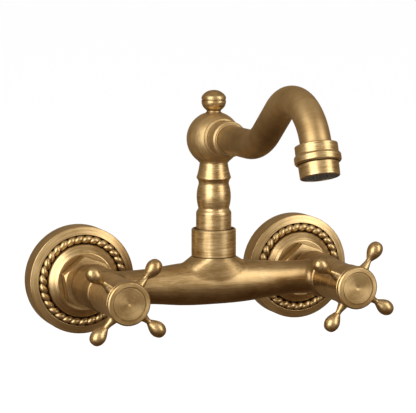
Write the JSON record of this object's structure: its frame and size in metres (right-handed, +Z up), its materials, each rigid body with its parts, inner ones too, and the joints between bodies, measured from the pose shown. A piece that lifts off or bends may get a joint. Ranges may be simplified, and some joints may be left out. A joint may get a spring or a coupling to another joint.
{
  "type": "wall-mounted two-handle mixer faucet",
  "caption": "Antique-brass wall mixer faucet with cross handles, roped rosettes, turned column, ball, finial and a swivelling swan-neck spout.",
  "frame": {"origin": "on the wall plane, midway between the two valves and level with their axes", "axes": "+Z up, +X to the right of someone facing the wall, -Y out of the wall towards the user"},
  "size_m": [0.219, 0.2355, 0.1669],
  "materials": {
    "antique_brass": "brushed, antiqued: dark patina in the recesses, rubbed brighter on the edges",
    "raw_brass": "machined, unlacquered",
    "black_rubber": "moulded nitrile rubber, matt",
    "ceramic": null,
    "spring_steel": "stainless spring steel",
    "aerator_plastic": "moulded dark plastic"
  },
  "bodies": {
    "body": {"body_casting": "antique_brass", "collar_nut": "antique_brass", "left_escutcheon": "antique_brass", "left_rope_ring": "antique_brass", "left_eccentric_union": "raw_brass", "left_union_nut": "antique_brass", "left_union_washer": "black_rubber", "left_cartridge_body": "raw_brass", "left_cartridge_seat_seal": "black_rubber", "left_cartridge_o_ring": "black_rubber", "left_fixed_ceramic_disc": "ceramic", "left_bonnet_sleeve": "antique_brass", "right_escutcheon": "antique_brass", "right_rope_ring": "antique_brass", "right_eccentric_union": "raw_brass", "right_union_nut": "antique_brass", "right_union_washer": "black_rubber", "right_cartridge_body": "raw_brass", "right_cartridge_seat_seal": "black_rubber", "right_cartridge_o_ring": "black_rubber", "right_fixed_ceramic_disc": "ceramic", "right_bonnet_sleeve": "antique_brass"},
    "left_handle": {"left_moving_ceramic_disc": "ceramic", "left_spindle": "raw_brass", "left_spindle_o_rings": "black_rubber", "left_circlip": "spring_steel", "left_handle_cross": "antique_brass", "left_handle_screw": "spring_steel", "left_index_cap": "antique_brass"},
    "right_handle": {"right_moving_ceramic_disc": "ceramic", "right_spindle": "raw_brass", "right_spindle_o_rings": "black_rubber", "right_circlip": "spring_steel", "right_handle_cross": "antique_brass", "right_handle_screw": "spring_steel", "right_index_cap": "antique_brass"},
    "spout": {"spout_column": "antique_brass", "column_o_rings": "black_rubber", "split_ring": "spring_steel", "spout_ball": "antique_brass", "finial": "antique_brass", "spout_arm": "antique_brass", "spout_ferrule": "antique_brass", "aerator_washer": "black_rubber", "aerator_housing": "antique_brass", "aerator_insert": "aerator_plastic"}
  },
  "joints": [
    {"name": "left_handle_turn", "type": "hinge", "parent": "body", "child": "left_handle", "pos_m": [-0.075, -0.0976, 0], "axis": [0, -1, 0], "range_deg": [0, 90]},
    {"name": "right_handle_turn", "type": "hinge", "parent": "body", "child": "right_handle", "pos_m": [0.075, -0.0976, 0], "axis": [0, 1, 0], "range_deg": [0, 90]},
    {"name": "spout_swivel", "type": "hinge", "parent": "body", "child": "spout", "pos_m": [0, -0.0501, 0.03], "axis": [0, 0, 1], "range_deg": [-95, 95]}
  ]
}
